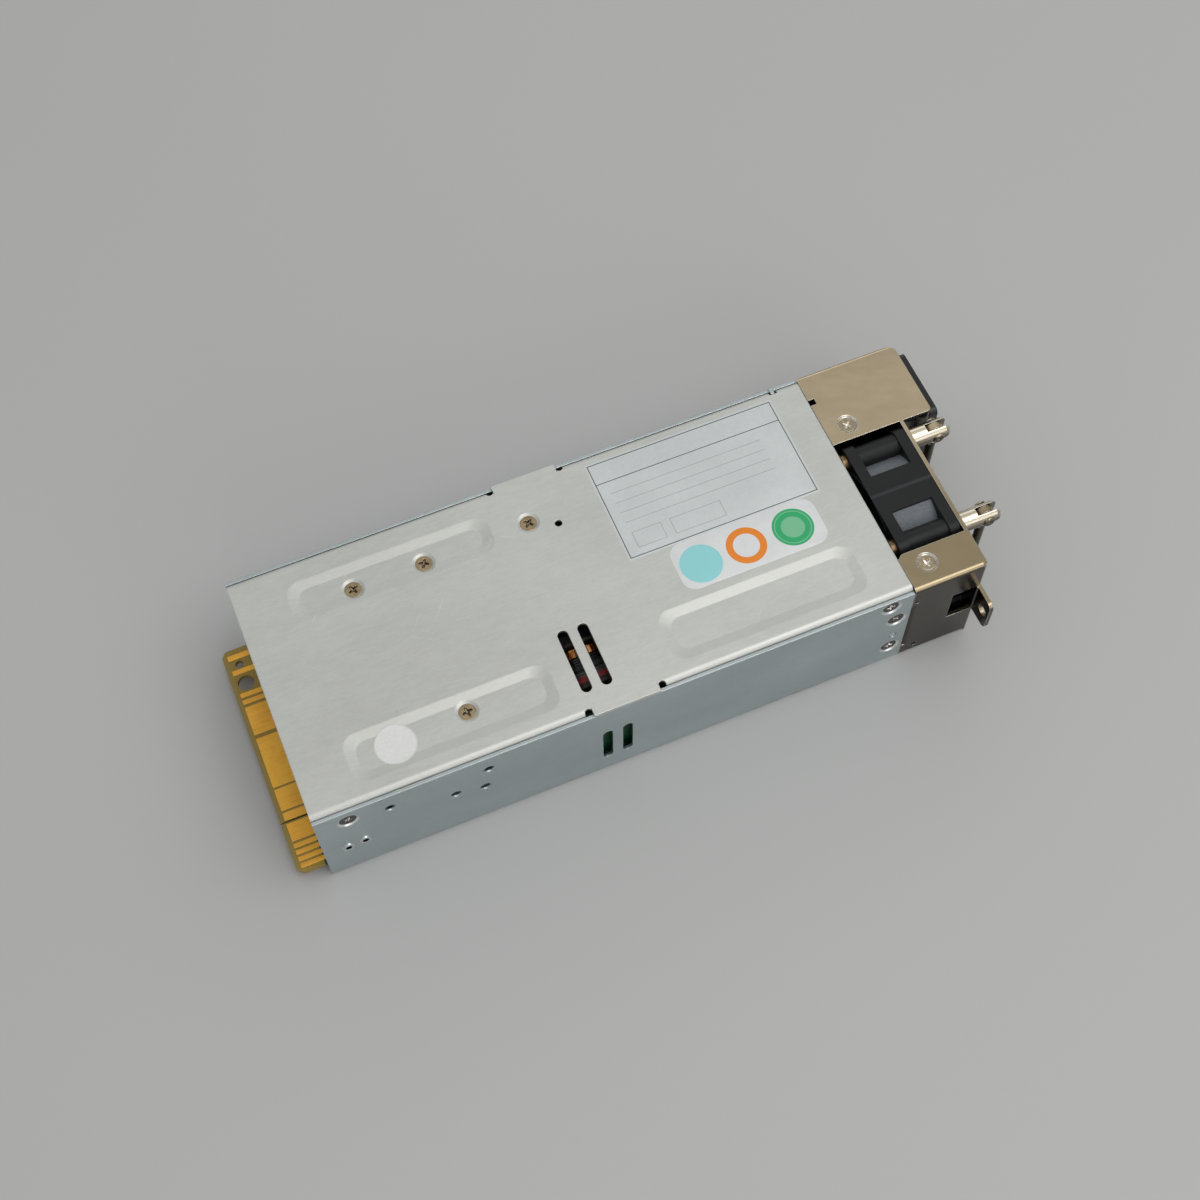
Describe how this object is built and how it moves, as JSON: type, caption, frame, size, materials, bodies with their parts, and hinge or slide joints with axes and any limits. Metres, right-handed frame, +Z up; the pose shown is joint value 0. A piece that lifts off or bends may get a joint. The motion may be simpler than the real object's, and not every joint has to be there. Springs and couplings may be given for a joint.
{
  "type": "hot swap server power supply",
  "caption": "Slim sheet-metal power supply with a card edge at the rear, and a fan, an AC inlet, a fixing ear and a folding bail handle at the front.",
  "frame": {"origin": "middle of the chassis' bottom face, half way along the sheet metal body and half way across it", "axes": "+X towards the fan and handle, +Y away from the fixing ear, +Z up through the top cover"},
  "size_m": [0.2286, 0.0894, 0.0404],
  "materials": {
    "cover_steel": "satin galvanised sheet",
    "body_steel": "satin galvanised sheet",
    "nickel": "dull nickel plate",
    "screw_nickel": "dull nickel plate",
    "black_plastic": "fine moulded",
    "gloss_black": "smooth moulded",
    "magnet": "sintered",
    "shaft_steel": "ground",
    "bronze": "sintered",
    "lamp": "frosted clear",
    "board_green": "solder mask over glass laminate",
    "gold": "gold plate",
    "tinned_brass": "tin plate",
    "clear_sheet": "thin smooth sheet",
    "aluminium": "extruded",
    "epoxy": "moulded epoxy",
    "ferrite": "ground ferrite",
    "bobbin": "moulded",
    "copper_wire": "enamelled wire",
    "tape": "polyester tape",
    "can_sleeve": "shrunk sleeve",
    "cradle": "moulded",
    "box_yellow": "moulded box",
    "fuse_glass": "glass and nickel",
    "header_white": "moulded",
    "lead_insulation": "insulated wire"
  },
  "bodies": {
    "housing": {"chassis_base": "body_steel", "top_cover": "cover_steel", "rear_grille": "body_steel", "grille_rivets": "screw_nickel", "cover_screws": "screw_nickel", "side_screws": "screw_nickel", "front_bracket": "nickel", "bracket_screws": "screw_nickel", "status_lamp": "lamp", "ac_inlet_housing": "gloss_black", "ac_inlet_pins": "tinned_brass", "fan_frame": "black_plastic", "fan_bearings": "bronze", "fan_stator": "copper_wire", "fan_screws": "screw_nickel", "fan_nuts": "bronze", "handle_posts": "nickel", "handle_rivets": "nickel", "main_board": "board_green", "edge_contacts": "gold", "board_standoffs": "screw_nickel", "board_screws": "screw_nickel", "insulator_sheet": "clear_sheet", "far_heatsink": "aluminium", "near_heatsink": "aluminium", "input_heatsink": "aluminium", "power_transistors": "epoxy", "bridge_rectifier": "epoxy", "transformer_core": "ferrite", "transformer_bobbin": "bobbin", "transformer_winding": "copper_wire", "transformer_tape": "tape", "control_circuit_board": "board_green", "control_chips": "epoxy", "bulk_capacitor": "can_sleeve", "capacitor_cradle": "cradle", "output_capacitors": "can_sleeve", "output_choke_core": "ferrite", "output_choke_winding": "copper_wire", "pfc_choke_core": "ferrite", "pfc_choke_winding": "copper_wire", "line_choke_core": "ferrite", "line_choke_winding": "copper_wire", "suppressor_capacitors": "box_yellow", "input_fuse": "fuse_glass", "fan_header": "header_white", "fan_leads": "lead_insulation", "inlet_wires": "lead_insulation"},
    "handle": {"handle_bail": "nickel"},
    "rotor": {"fan_rotor": "black_plastic", "fan_shaft": "shaft_steel", "fan_magnet": "magnet"}
  },
  "joints": [
    {"name": "handle_swing", "type": "hinge", "parent": "housing", "child": "handle", "pos_m": [0.1235, -0.007, 0.0362], "axis": [0, -1, 0], "range_deg": [-14, 180]},
    {"name": "fan_spin", "type": "hinge", "parent": "housing", "child": "rotor", "pos_m": [0.1036, -0.007, 0.0202], "axis": [1, 0, 0], "continuous": true}
  ]
}
